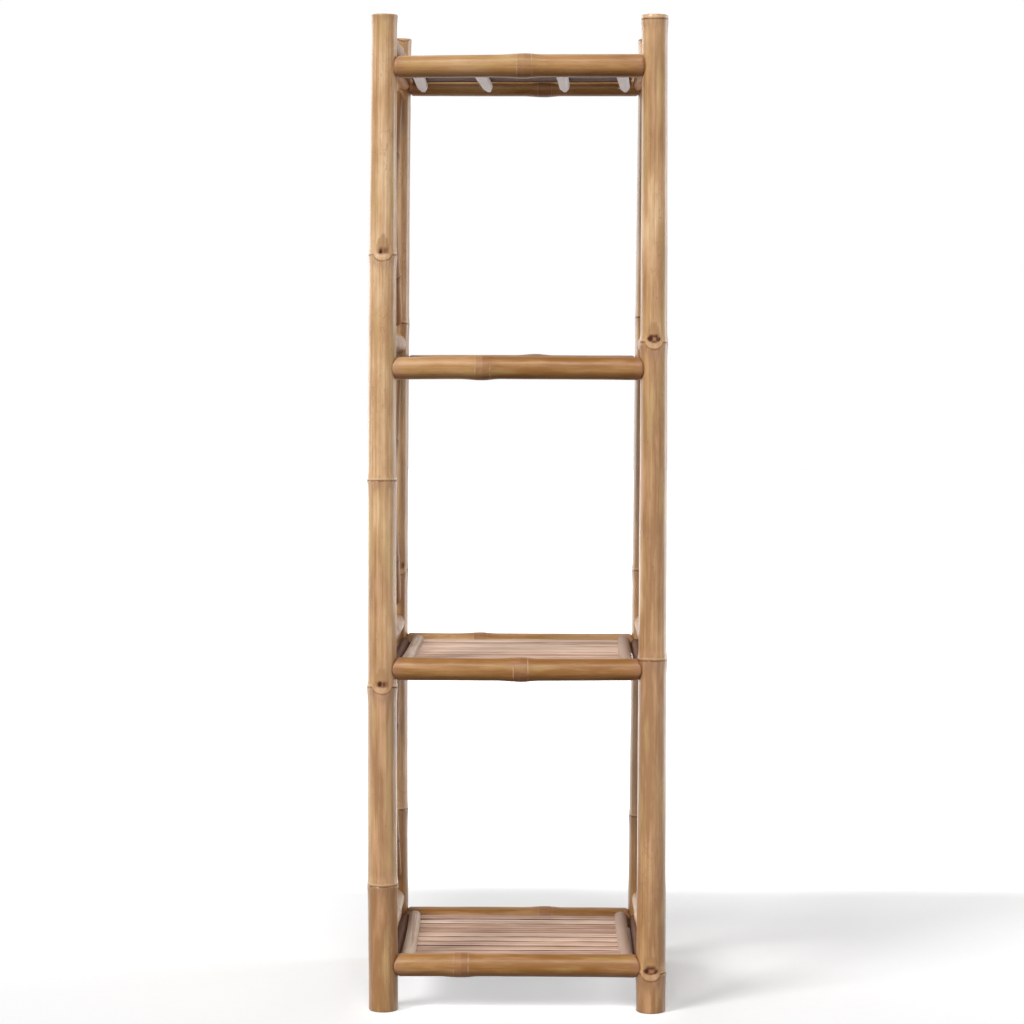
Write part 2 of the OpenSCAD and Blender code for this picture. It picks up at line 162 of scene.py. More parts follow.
def noise_over(parts, scales, detail=2.0, roughness=0.5):
    """Noise over a place given by its three parts, each with its own scale."""
    return noise(vector(*(part * scale for part, scale in zip(parts, scales))), detail, roughness)


def luck(key, seed):
    """A random number for each key."""
    return make(key.tree, "FunctionNodeRandomValue", {"ID": key, "Seed": seed}, output=1, data_type="FLOAT")


def curve(value, points):
    """The height of a drawn curve over value; both run from 0 to 1."""
    result = make(value.tree, "ShaderNodeFloatCurve", {"Value": value})
    mapping = result.socket.node.mapping
    drawn = mapping.curves[0].points
    drawn[0].location = points[0]
    drawn[-1].location = points[-1]
    for x, y in points[1:-1]:
        drawn.new(x, y)
    for point in drawn:
        point.handle_type = "VECTOR"
    mapping.update()
    return result


def label_of(name):
    """A socket's label, such as Start Radius for start_radius."""
    return name.replace("_", " ").title()


def socket_kind(example):
    """The kind of socket that takes values like this one."""
    if example is None:
        return "NodeSocketMaterial"
    if example == "geometry":
        return "NodeSocketGeometry"
    if isinstance(example, tuple):
        return "NodeSocketColor" if len(example) == 4 else "NodeSocketVector"
    return "NodeSocketInt" if isinstance(example, int) else "NodeSocketFloat"


def new_tree(name, kind, inputs, outputs):
    """A node group with sockets for such inputs and outputs, and its inputs as values by name."""
    tree = bpy.data.node_groups.new(name, kind)
    for way, examples in (("INPUT", inputs), ("OUTPUT", outputs)):
        for key, example in examples.items():
            tree.interface.new_socket(label_of(key), in_out=way, socket_type=socket_kind(example))
    entry = tree.nodes.new("NodeGroupInput")
    return tree, SimpleNamespace(**{key: Value(entry, label_of(key)) for key in inputs})


def new_geometry_tree(name, inputs):
    return new_tree(name, "GeometryNodeTree", inputs, {"geometry": "geometry"})


MERGED = ("GeometryNodeMergeByDistance", {"Distance": 0.00001})
SMOOTHED = ("GeometryNodeSetShadeSmooth", {"Shade Smooth": True})


def close_geometry_tree(geometry, material, *steps):
    """Passes geometry through more nodes, and ends in one real mesh with its material."""
    end = (("GeometryNodeRealizeInstances", {}), ("GeometryNodeSetMaterial", {"Material": material}))
    for kind, inputs in steps + end:
        geometry = make(geometry.tree, kind, {"Geometry": geometry, **inputs})
    feed(geometry.tree.nodes.new("NodeGroupOutput"), {0: geometry})


def store(geometry, kind, **attributes):
    for name, value in attributes.items():
        inputs = {"Geometry": geometry, "Name": name, "Value": value}
        geometry = make(
            geometry.tree, "GeometryNodeStoreNamedAttribute", inputs, data_type=kind, domain="POINT")
    return geometry


def add_object(name, data):
    thing = bpy.data.objects.new(name, data)
    bpy.context.scene.collection.objects.link(thing)
    return thing


def mesh_from_tree(name, tree, values):
    """Runs a tree with these inputs and keeps the result as a plain mesh object."""
    thing = add_object(name, bpy.data.meshes.new(name))
    modifier = thing.modifiers.new("Shape", "NODES")
    modifier.node_group = tree
    identifiers = {item.name: item.identifier for item in tree.interface.items_tree if item.in_out == "INPUT"}
    for key, value in values.items():
        modifier[identifiers[label_of(key)]] = value
    evaluated = thing.evaluated_get(bpy.context.evaluated_depsgraph_get())
    mesh = bpy.data.meshes.new_from_object(evaluated)
    thing.modifiers.remove(modifier)
    thing.data = mesh
    mesh.name = name
    mesh.set_sharp_from_angle(angle=math.radians(50))
    return thing


def hand_over(thing, slot, *nodes):
    """The finished mesh stands for these CAD nodes."""
    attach(thing, "root")
    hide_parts(*nodes)


# Culms

# The rows of a cap run from its middle to the wall: down in the hollow, over the cut face, round its edge.
CAP_ROWS = 10
FACE_ROWS = 5
CAP_SHARE = [
    (0, 0), (1 / CAP_ROWS, 0.56), (2 / CAP_ROWS, 0.60), (3 / CAP_ROWS, 0.64), (4 / CAP_ROWS, 0.80),
    (FACE_ROWS / CAP_ROWS, 1), (1, 1)]
CAP_HOLLOW = [(0, 1), (1 / CAP_ROWS, 0.95), (2 / CAP_ROWS, 0.04), (3 / CAP_ROWS, 0), (1, 0)]


def quarter_turn(height):
    """A curve over the rows of a cap, whose outer rows round its edge through a quarter turn."""
    points = [(0, height(0.0))]
    for row in range(FACE_ROWS, CAP_ROWS + 1):
        angle = math.pi / 2 * (row - FACE_ROWS) / (CAP_ROWS - FACE_ROWS)
        points.append((row / CAP_ROWS, height(angle)))
    return points


EDGE_INWARD = quarter_turn(lambda angle: 1 - math.sin(angle))
EDGE_ALONG = quarter_turn(lambda angle: 1 - math.cos(angle))

# Both forms of a joint run from 30 mm below its line to 20 mm above it.
JOINT_BELOW = 0.030
JOINT_SPAN = 0.050
# On a post, a ridge swells up to the line, and a narrow lip stands over it.
RIDGE_PROFILE = [
    (0, 0), (0.16, 0.05), (0.3, 0.2), (0.44, 0.5), (0.54, 0.84), (0.575, 1), (0.588, 0.86), (0.597, 0.34),
    (0.606, 0.34), (0.616, 0.8), (0.65, 0.74), (0.7, 0.46), (0.76, 0.17), (0.86, 0.04), (1, 0)]
# On a rail, a smooth swelling carries a band between two fine grooves.
BAND_PROFILE = [
    (0, 0), (0.1, 0.05), (0.25, 0.3), (0.4, 0.75), (0.43, 0.84), (0.44, 0.64), (0.452, 0.9), (0.6, 1),
    (0.745, 0.86), (0.757, 0.6), (0.77, 0.72), (0.88, 0.28), (1, 0)]

# A scar dips the joint's line. Over the dip lie a pad with two buds and, above them, a furrowed dome.
# The sizes are half widths round the culm, then half heights along it.
SCAR_HALF_WIDTH = 0.0118
SCAR_RISE = 0.0042
PAD_SIZE = (0.0080, 0.0036)
DOME_SIZE = (0.0092, 0.0175)
LEFT_BUD_WIDTH = 0.0023
RIGHT_BUD_WIDTH = 0.0018
BUD_HEIGHT = 0.0021
PAD_RELIEF = 0.0004
RIM_RELIEF = 0.0003
BUD_RELIEF = 0.0007
TONGUE_RELIEF = 0.0003
FURROW_RELIEF = 0.0005

JOINT_NAMES = ["joint_1", "joint_2", "joint_3", "joint_4", "joint_5"]
NO_JOINT = 9.0

# The inputs of the culm tree, as they are where a culm doesn't say otherwise.
CULM = dict(
    around=56, rows=120, start=0.0, end=1.0, start_radius=0.01, end_radius=0.01, belly=0.0,
    start_offset=(0, 0, 0), middle_offset=(0, 0, 0), end_offset=(0, 0, 0),
    **dict.fromkeys(JOINT_NAMES, NO_JOINT), lip=0.001, band=0.0,
    scar_size=0.0, scar_turn=0.0, scar_dip=0.008, scar_rim=1.0, bud_spread=0.005, unevenness=0.0003,
    seed=0.0, tone=0.5, tone_step=0.0, tone_spread=0.2,
    start_seat=0.0, start_cosine=1.0, start_slope=0.0, end_seat=0.0, end_cosine=1.0, end_slope=0.0,
    bluntness=0.0, edge_rounding=0.001, hollow_depth=0.0, up=0.0,
    place=(0, 0, 0), turn=(0, 0, 0), material=None)


def culm_radius(part, start_radius, end_radius, belly):
    """Radius of a culm at a part of its length; all may be numbers or values."""
    swell = belly * 4 * part * (1 - part)
    return start_radius + (end_radius - start_radius) * part + swell


def bow_weights(part):
    """How much a culm's start, middle and end offsets count at a part of its length."""
    return (1 - part) * (1 - 2 * part), 4 * part * (1 - part), part * (2 * part - 1)


def build_culm_tree():
    """A bamboo culm along +Z: a sheet of rows wrapped round its axis, closed at both ends.

    Each end may be cut to a round post: its seat is the radius of the cut, and the cosine and
    slope say how the post is tilted in the plane of local Y and Z. Bluntness is how far from the
    post's axis a flat cut ends the part that would wrap round it. Up is how far local Y points up.
    """
    tree, given = new_geometry_tree("Bamboo culm", CULM)
    start, end, seed, scar = given.start, given.end, given.seed, given.scar_size
    joints = [getattr(given, name) for name in JOINT_NAMES]

    last_row = given.rows - 1
    sheet = make(tree, "GeometryNodeMeshGrid", {
        "Size X": 1.0, "Size Y": 1.0, "Vertices X": given.around + 1, "Vertices Y": given.rows})
    sheet_x, sheet_y, _ = split(make(tree, "GeometryNodeInputPosition"))
    turn = (sheet_x + 0.5) * math.tau
    row = math_node("ROUND", (sheet_y + 0.5) * last_row)
    cosine, sine = math_node("COSINE", turn), math_node("SINE", turn)

    in_cap = clamp(math_node("MINIMUM", row, last_row - row) / CAP_ROWS)
    share = curve(in_cap, CAP_SHARE)
    edge_inward = curve(in_cap, EDGE_INWARD) * given.edge_rounding
    edge_along = curve(in_cap, EDGE_ALONG) * given.edge_rounding
    inset = curve(in_cap, CAP_HOLLOW) * given.hollow_depth + edge_along
    along = clamp((row - CAP_ROWS) / (last_row - 2 * CAP_ROWS))

    def nearest_joint(z):
        """Number of the joint nearest to z, and the height of z above it."""
        number, above = 0.0, z - joints[0]
        for k, joint in enumerate(joints[1:], 1):
            here = z - joint
            closer = math_node("LESS_THAN", size(here), size(above))
            above = above + (here - above) * closer
            number = number + (k - number) * closer
        return number, above

    def gather(z):
        """Draws the rows together near each joint."""
        _, above = nearest_joint(z)
        return z - above * bell(above, given.start_radius * 1.3) * 0.82

    def part_at(z):
        return (z - start) / (end - start)

    def radius_at(z):
        return culm_radius(part_at(z), given.start_radius, given.end_radius, given.belly)

    start_axis = start + given.start_seat / given.start_cosine
    end_axis = end - given.end_seat / given.end_cosine
    gathered = gather(start_axis + (end_axis - start_axis) * along)
    low, high = gather(start_axis), gather(end_axis)
    plain_z = start_axis + (gathered - low) * (end_axis - start_axis) / (high - low)

    rough_radius = (radius_at(plain_z) - edge_inward) * share
    rough_x, rough_y = rough_radius * cosine, rough_radius * sine

    def cut_height(at, way, seat, tilt_cosine, slope):
        """Where the wall ends here: at the post, or at a blunt cut before it."""
        reach = math_node("MAXIMUM", sqrt(square(seat) - square(rough_x)), given.bluntness)
        return at + way * reach / tilt_cosine + rough_y * slope

    start_wave = cut_height(start, 1.0, given.start_seat, given.start_cosine, given.start_slope) - start_axis
    end_wave = cut_height(end, -1.0, given.end_seat, given.end_cosine, given.end_slope) - end_axis
    fade_length = given.start_radius * 3.2
    start_fade = square(1 - clamp((plain_z - start_axis) / fade_length))
    end_fade = square(1 - clamp((end_axis - plain_z) / fade_length))
    z = plain_z + (start_wave + inset) * start_fade + (end_wave - inset) * end_fade

    joint_number, above = nearest_joint(z)
    noise_seat = vector(cosine * 0.8, sine * 0.8, joint_number * 3.1 + seed * 7.3)
    above = above + noise(noise_seat, 1.0, scale=1.2) * 0.0016
    away = math_node("WRAP", turn - given.scar_turn - joint_number * math.pi, math.pi, -math.pi)
    arc = away * given.start_radius
    over_line = above + scar * given.scar_dip
    above = above + sqrt(1 - square(arc / SCAR_HALF_WIDTH)) * scar * given.scar_dip

    profile_place = clamp((above + JOINT_BELOW) / JOINT_SPAN)
    ridge = curve(profile_place, RIDGE_PROFILE)
    profile = ridge + (curve(profile_place, BAND_PROFILE) - ridge) * given.band
    lip_wave = 1 + noise(noise_seat, 1.0, scale=2.3) * 0.5

    scar_height = given.scar_dip + SCAR_RISE
    over_pad = over_line - scar_height

    def oval(half_width, half_height):
        """Distance from the middle of the pad, 1 on the rim of an oval of this size."""
        return sqrt(square(arc / half_width) + square(over_pad / half_height))

    def bud(aside, half_width):
        return math_node("EXPONENT", -(square(aside / half_width) + square(over_pad / BUD_HEIGHT)))

    joint_key = joint_number + seed * 31
    spread = given.bud_spread * (0.7 + 0.6 * luck(joint_key, 9))
    right_bud = bud(arc - spread, RIGHT_BUD_WIDTH) * (0.30 + 0.70 * luck(joint_key, 8))
    buds = (bud(arc + spread, LEFT_BUD_WIDTH) + right_bud) * scar
    from_pad = oval(*PAD_SIZE)
    pad = smooth(from_pad, 1.15, 0.80) * scar
    pad_rim = bell(from_pad - 0.92, 0.26) * scar * given.scar_rim
    tongue = smooth(size(arc), 0.0105, 0.0050) * bell(above - 0.0042, 0.0030) * scar
    over_scar = smooth(over_line, scar_height, scar_height + 0.004) * scar
    furrow = smooth(oval(*DOME_SIZE), 1.08, 0.92) * over_scar

    sway = noise(vector(cosine * 0.5, sine * 0.5, z * 14 + seed * 11.7), 1.0) * given.unevenness * 2
    ripple = noise(vector(cosine * 1.2, sine * 1.2, z * 60 + seed * 5.1))
    relief = given.lip * profile * lip_wave + sway + ripple * given.unevenness * 0.5
    relief = relief + pad * PAD_RELIEF + pad_rim * RIM_RELIEF - buds * BUD_RELIEF
    relief = relief + tongue * TONGUE_RELIEF - furrow * FURROW_RELIEF
    radius = (radius_at(z) + relief - edge_inward) * share

    axis_x, axis_y = 0.0, 0.0
    offsets = (given.start_offset, given.middle_offset, given.end_offset)
    for weight, offset in zip(bow_weights(part_at(z)), offsets):
        offset_x, offset_y, _ = split(offset)
        axis_x = axis_x + offset_x * weight
        axis_y = axis_y + offset_y * weight
    wall = vector(radius * cosine + axis_x, radius * sine + axis_y, z)

    internode = joint_number + math_node("GREATER_THAN", above, 0.0)
    tone_luck = luck(internode + seed * 31, 5) - 0.5
    tone = given.tone + given.tone_step * internode + tone_luck * given.tone_spread
    grain = vector(radius * cosine + seed * 0.13, radius * sine, z + seed * 0.37)
    in_end = 1 - smooth(in_cap, 0.50, 0.80)
    # How far the skin faces down, which places the painted shade on the underside.
    underside = clamp(0 - sine * given.up)
    # Masks for painted shade at a culm's seated ends, where a rail meets a post.
    painted_start_shade = bell(plain_z - start_axis, 0.006) * math_node("GREATER_THAN", given.start_seat, 0.0001)
    painted_end_shade = bell(end_axis - plain_z, 0.006) * math_node("GREATER_THAN", given.end_seat, 0.0001)
    scarred = smooth(size(arc), 0.0150, 0.0110) * scar

    made = store(sheet, "FLOAT", above_joint=above, tone=tone)
    made = store(
        made, "FLOAT_VECTOR", grain=grain, marks=vector(pad, buds, in_end),
        scar_marks=vector(pad_rim, tongue, furrow),
        place_marks=vector(underside, painted_start_shade + painted_end_shade, scarred))
    close_geometry_tree(
        made, given.material, ("GeometryNodeSetPosition", {"Position": wall}), MERGED, SMOOTHED,
        ("GeometryNodeTransform", {"Translation": given.place, "Rotation": given.turn}))
    return tree


culm_tree = build_culm_tree()


def make_culm(node, slot, material, placement, joints, bow_x=(0, 0, 0), bow_y=(0, 0, 0), **values):
    """One culm, whose own frame is set by the matrix placement, instead of a CAD node.

    The bows are how far the axis lies aside in local X and Y at the start, the middle and the end.
    """
    inputs = {**CULM, **dict(zip(JOINT_NAMES, joints)), **values, "material": material}
    for name, x, y in zip(("start_offset", "middle_offset", "end_offset"), bow_x, bow_y):
        inputs[name] = (x, y, 0)
    inputs["up"] = (placement.to_3x3() @ Vector((0, 1, 0))).z
    inputs["place"] = tuple(placement.to_translation())
    inputs["turn"] = tuple(placement.to_euler())
    hand_over(mesh_from_tree(f"culm_{node}", culm_tree, inputs), slot, node)


# Posts

# A negative Tone Step makes each internode deeper than the one above it: partly the culm's own colour, partly
# painted shade that darkens the posts towards the foot.
REAR_POST = dict(belly=0.0, scar_size=0.8, scar_rim=0.6, tone=0.75, tone_step=-0.08)
# The bow in X is how far the axis lies to the right of its plain place at the foot, the middle and the top.
POSTS = {
    ("front", "left"): dict(
        joints=(0.1532, 0.3952, 0.6446, 0.9146, 1.2035), bow_x=(0.0016, -0.0001, 0.0033), belly=0.0009,
        lip=0.0013, scar_size=1.0, scar_turn=1.63, scar_dip=0.0075, scar_rim=0.25, bud_spread=0.0034,
        seed=1.0, tone=1.0, tone_step=-0.17),
    ("front", "right"): dict(
        joints=(0.0484, 0.4290, 0.8110, 1.1944), bow_x=(0.0003, 0.0004, -0.0006), belly=0.0002,
        lip=0.0014, scar_size=1.0, scar_turn=-1.60, scar_dip=0.0085, bud_spread=0.0056,
        seed=2.0, tone=1.1, tone_step=-0.15),
    ("rear", "left"): dict(
        joints=(0.1990, 0.5137, 0.8334, 1.2025), bow_x=(-0.0011, 0.0002, 0.0055), lip=0.0008,
        scar_turn=2.0, seed=3.0, **REAR_POST),
    ("rear", "right"): dict(
        joints=(0.1915, 0.5137, 0.8424, 1.1985), bow_x=(-0.0035, -0.0002, 0.0033), lip=0.0010,
        scar_turn=-0.9, seed=4.0, **REAR_POST),
}


def seat_radius(end, side, z):
    """Radius of a cut that fits round a post at this height."""
    radius = culm_radius(z / POST_HEIGHT, POST_BASE_RADIUS, POST_TOP_RADIUS, POSTS[end, side]["belly"])
    return radius + SEAT_GAP


def post_axis_x(end, side, z):
    """Posts bow and lean a little."""
    aside = zip(POSTS[end, side]["bow_x"], bow_weights(z / POST_HEIGHT))
    return SIDES[side] * HALF_X + sum(offset * weight for offset, weight in aside)


def make_posts(material):
    for (end, side), post in POSTS.items():
        make_culm(
            f"post_{end}_{side}", "post_bamboo", material,
            Matrix.Translation((SIDES[side] * HALF_X, ENDS[end] * HALF_Y, 0)),
            around=96, rows=320, end=POST_HEIGHT, start_radius=POST_BASE_RADIUS, end_radius=POST_TOP_RADIUS,
            edge_rounding=0.0017, hollow_depth=0.012, **post)


# Rails

ALONG_X = Matrix(((0, 0, 1, 0), (1, 0, 0, 0), (0, 1, 0, 0), (0, 0, 0, 1)))
ALONG_Y = Matrix.Rotation(math.radians(-90), 4, "X")
# From the lowest shelf up; start is at the left and end at the right.
SHELF_RAILS = {
    "front": [
        dict(joints=(-0.067,), start_radius=0.0139, end_radius=0.0139, bow_y=(0, 0.0006, 0),
             seed=11.0, tone=0.76, tone_step=0.36),
        dict(joints=(0.0045,), start_radius=0.0139, end_radius=0.0131, bow_y=(0, -0.0010, 0),
             seed=12.0, tone=0.80, tone_step=0.22),
        dict(joints=(-0.042,), start_radius=0.0136, end_radius=0.0136, bow_y=(0, 0.0009, 0),
             seed=13.0, tone=0.36, tone_step=0.55),
        dict(joints=(0.007,), start_radius=0.0131, end_radius=0.0138, bow_y=(-0.0030, -0.0014, -0.0012),
             seed=14.0, tone=0.54, tone_step=0.22),
    ],
    "rear": [
        dict(joints=(0.034,), bow_y=(0, 0.0005, 0), seed=15.0, tone=0.85),
        dict(joints=(-0.052,), bow_y=(0, -0.0005, 0), seed=16.0, tone=0.12),
        dict(joints=(0.020,), bow_y=(0, 0.0005, 0), seed=17.0, tone=0.45),
        dict(joints=(0.030,), bow_y=(-0.0005, -0.0008, -0.0005), seed=18.0, tone=0.55),
    ],
}
PLAIN_RAIL = dict(start_radius=RAIL_RADIUS, end_radius=RAIL_RADIUS, tone_step=0.10)
SIDE_RAIL_JOINTS = [0.024, 0.0, -0.038, 0.030]


def make_shelf_rails(material):
    for end, rails in SHELF_RAILS.items():
        for i, z in enumerate(LEVELS):
            make_culm(
                f"shelf_{i + 1}_{end}_rail", "rail_bamboo", material,
                Matrix.Translation((0, ENDS[end] * HALF_Y, z)) @ ALONG_X,
                around=72, rows=150, start=post_axis_x(end, "left", z), end=post_axis_x(end, "right", z),
                lip=0.0014, band=1.0, tone_spread=0.1, edge_rounding=0.0034, bluntness=0.0122,
                start_seat=seat_radius(end, "left", z), end_seat=seat_radius(end, "right", z),
                **{**PLAIN_RAIL, **rails[i]})


def make_side_rails(material):
    for side, way in SIDES.items():
        for i, joint in enumerate(SIDE_RAIL_JOINTS):
            z = LEVELS[i] + SIDE_RAIL_RISE
            front_x, rear_x = post_axis_x("front", side, z), post_axis_x("rear", side, z)
            middle_x = (front_x + rear_x) / 2
            make_culm(
                f"side_rail_{side}_{i + 1}", "rail_bamboo", material,
                Matrix.Translation((middle_x, 0, z)) @ ALONG_Y, (joint,),
                around=64, rows=130, start=-HALF_Y, end=HALF_Y,
                start_radius=RAIL_RADIUS, end_radius=RAIL_RADIUS - 0.0003,
                bow_x=(front_x - middle_x, 0, rear_x - middle_x),
                lip=0.0012, band=1.0, seed=20.0 + i + 5 * way, tone=0.15, tone_step=0.1, tone_spread=0.3,
                edge_rounding=0.0030, bluntness=0.0118,
                start_seat=seat_radius("front", side, z), end_seat=seat_radius("rear", side, z))


# Braces

BRACE_JOINTS = (-0.118, 0.086)
BRACE_RUN = 2 * HALF_Y - 0.033
BRACE_TILT = math.atan2(BRACE_RUN, BRACE_HIGH - BRACE_LOW)
UPRIGHT = Vector((0, 0, 1))


def make_brace(node, material, placement, seed, start, end):
    """A brace or half of one; start and end are a place on its axis, a seat and the direction cut to."""
    values = {}
    for name, (at, seat, direction) in (("start", start), ("end", end)):
        local = placement.to_3x3().transposed() @ direction
        cosine, slope = abs(local.y), local.z / local.y
        values.update({name: at, f"{name}_seat": seat, f"{name}_cosine": cosine, f"{name}_slope": slope})
    make_culm(
        node, "brace_bamboo", material, placement, BRACE_JOINTS, around=44, rows=160,
        start_radius=BRACE_RADIUS, end_radius=BRACE_RADIUS - 0.0002, lip=0.0008, unevenness=0.0002,
        seed=seed, tone=0.45, tone_spread=0.5, edge_rounding=0.0012, **values)


def make_braces(material):
    half = HALF_Y / math.sin(BRACE_TILT)
    for side, way in SIDES.items():
        for bay in range(3):
            low, high = LEVELS[bay] + BRACE_LOW, LEVELS[bay] + BRACE_HIGH
            middle = (low + high) / 2
            at = Matrix.Translation((post_axis_x("front", side, middle), 0, middle))
            falling = at @ Matrix.Rotation(BRACE_TILT, 4, "X")
            rising = at @ Matrix.Rotation(-BRACE_TILT, 4, "X")
            crossing = (0.0, BRACE_RADIUS + SEAT_GAP, falling.to_3x3() @ UPRIGHT)
            front_low, rear_low = ((-half, seat_radius(end, side, low), UPRIGHT) for end in ENDS)
            front_high, rear_high = ((half, seat_radius(end, side, high), UPRIGHT) for end in ENDS)
            seed = 40.0 + 10 * bay + 3 * way
            stem = f"brace_{side}_{bay + 1}"
            make_brace(f"{stem}_long", material, falling, seed, rear_low, front_high)
            make_brace(f"{stem}_lower", material, rising, seed + 1, front_low, crossing)
            make_brace(f"{stem}_upper", material, rising, seed + 2, crossing, rear_high)


# Slats and battens

# The slats of one shelf; the first six sizes are as in the part's source.
SLATS = dict(
    count=10, length=0.277, width=0.02532, pitch=0.02652, thickness=0.005, crown=0.0009,
    edge_drop=0.0029, rear_rise=0.0016, waviness=0.0019, level=0.0, seed=0.0, material=None)
SLAT_LIFT = 0.0006


def build_slat_tree():
    """A row of split slats along X, each with its own slightly wavy edges."""
    tree, given = new_geometry_tree("Row of slats", SLATS)
    index = make(tree, "GeometryNodeInputIndex")
    slat_y = (index - (given.count - 1) / 2) * given.pitch
    points = make(tree, "GeometryNodePoints", {"Count": given.count, "Position": vector(0.0, slat_y, 0.0)})
    blank = make(tree, "GeometryNodeMeshCube", {
        "Size": (1, 1, 1), "Vertices X": 64, "Vertices Y": 15, "Vertices Z": 3})
    placed = make(tree, "GeometryNodeInstanceOnPoints", {
        "Points": store(points, "FLOAT", slat=index, slat_y=slat_y), "Instance": blank})
    row = make(tree, "GeometryNodeRealizeInstances", {"Geometry": placed})

    slat, centre = (
        make(tree, "GeometryNodeInputNamedAttribute", {"Name": name}, data_type="FLOAT")
        for name in ("slat", "slat_y"))
    x, y, z = split(make(tree, "GeometryNodeInputPosition"))
    key = slat * 3.7 + given.seed * 13.1
    across = math_node("SINE", (y - centre) * math.pi)
    crown = square(across)
    edge = crown * crown * crown
    front_edge = noise(vector(x * 5, key, 0.0))
    back_edge = noise(vector(x * 5, key, 9.0))
    wander = front_edge + (back_edge - front_edge) * (across + 1) / 2
    lift = noise(vector(x * 3, key, 4.0)) * given.waviness
    lean = noise(vector(x * 1.5, key, 6.0), 1.0) * across * given.waviness
    rise = square(slat / (given.count - 1)) * given.rear_rise
    trim = 1 + noise(vector(key, 0.0, 2.0), 1.0, scale=3.0) * 0.012
    top = given.thickness - given.crown * crown - edge * given.edge_drop
    bottom = edge * 0.0008
    height = bottom + (top - bottom) * (z + 0.5) + lift + lean + rise
    from_centre = across * given.width / 2
    seat = vector(
        x * given.length * trim, centre + from_centre + wander * given.waviness * 1.4, given.level + height)
    made = store(row, "FLOAT_VECTOR", grain=vector(x * given.length + key, from_centre + key, height))
    made = store(made, "FLOAT", tone=luck(slat + given.seed * 17, 3), edge=edge, underside=0.5 - z)
    close_geometry_tree(made, given.material, ("GeometryNodeSetPosition", {"Position": seat}), SMOOTHED)
    return tree


def make_slats(material):
    tree = build_slat_tree()
    for i, level in enumerate(LEVELS):
        values = {**SLATS, "level": level + SLAT_LIFT, "seed": float(i + 1), "material": material}
        hand_over(mesh_from_tree(f"split_slats_{i + 1}", tree, values), "slat_bamboo", f"shelf_{i + 1}_slats")


# The inputs of the batten tree, as they are where a batten doesn't say otherwise.
BATTEN = dict(
    length=0.0, width=0.0, height=0.0, squareness=0.0, taper=0.0, end_seat=0.0, seat_drop=0.0,
    skew=0.0, bend=0.0, place=(0, 0, 0), seed=0.0, tone=0.0, material=None)
TOP_BATTEN = dict(length=TOP_BATTEN_LENGTH, width=2 * TOP_BATTEN_RADIUS, height=TOP_BATTEN_RADIUS * 0.9)
UNDER_BATTEN = dict(
    length=2 * HALF_Y, width=0.0155, height=UNDER_BATTEN_THICKNESS * 1.2, squareness=1.0, taper=0.6,
    end_seat=RAIL_RADIUS + SEAT_GAP, seat_drop=UNDER_BATTEN_THICKNESS + SEAT_GAP, tone=0.3)
TOP_BATTEN_BEND = 0.0008
# On every other shelf in turn, how far the middle lies to the right of its plain place, and the rear end
# to the right of the front end.
TOP_BATTEN_PLACES = {
    "left": ((0.0, -0.0045), (0.0005, 0.0030)),
    "right": ((-0.0012, -0.0030), (-0.0009, 0.0007)),
}
TOP_BATTEN_TONES = {"left": 0.20, "right": 1.6}
# Place of each batten's middle, and how far its rear end lies to the right of its front end.
UNDER_BATTEN_PLACES = [(-0.1242, -0.0042), (-0.0455, 0.0073), (0.0535, 0.0050), (0.1283, 0.0110)]


def build_batten_tree():
    """A batten along Y with its underside at z 0, half-round or squarer; an end seat copes its ends."""
    tree, given = new_geometry_tree("Batten", BATTEN)
    blank = make(tree, "GeometryNodeMeshCube", {
        "Size": (1, 1, 1), "Vertices X": 17, "Vertices Y": 60, "Vertices Z": 4})
    x, y, z = split(make(tree, "GeometryNodeInputPosition"))
    across = math_node("SINE", x * math.pi)
    round_top = math_node("COSINE", x * math.pi)
    edge = square(square(across))
    square_top = 1 - edge * edge * 0.35
    square_bottom = edge * edge * 0.35
    top = round_top + (square_top - round_top) * given.squareness
    bottom = square_bottom * given.squareness
    height = (bottom + (top - bottom) * (z + 0.5)) * given.height
    drop = given.seat_drop - height
    reach = given.length / 2 - sqrt(square(given.end_seat) - square(drop))
    ripple = noise(vector(y * 4, given.seed * 3.3, across * 0.6))
    bow = given.bend * (1 - square(2 * y))
    narrow = 1 - given.taper * (0.3 * (y + 0.5) + 0.7 * smooth(y, 0.36, 0.50))
    from_middle = across * given.width / 2
    aside = from_middle * narrow + given.skew * y + bow + ripple * 0.0006
    seat = vector(aside, y * 2 * reach, height * (1 + ripple * 0.10))
    made = store(blank, "FLOAT_VECTOR", grain=vector(y * given.length + given.seed, from_middle, height))
    made = store(made, "FLOAT", tone=given.tone + ripple, edge=0.0, underside=0.5 - z)
    close_geometry_tree(
        made, given.material, ("GeometryNodeSetPosition", {"Position": seat}), MERGED, SMOOTHED,
        ("GeometryNodeTransform", {"Translation": given.place}))
    return tree


def joined(name, things):
    """Several plain meshes as one."""
    for thing in bpy.context.selected_objects:
        thing.select_set(False)
    for thing in things:
        thing.select_set(True)
    bpy.context.view_layer.objects.active = things[0]
    bpy.ops.object.join()
    whole = things[0]
    whole.name = name
    whole.data.name = name
    return whole


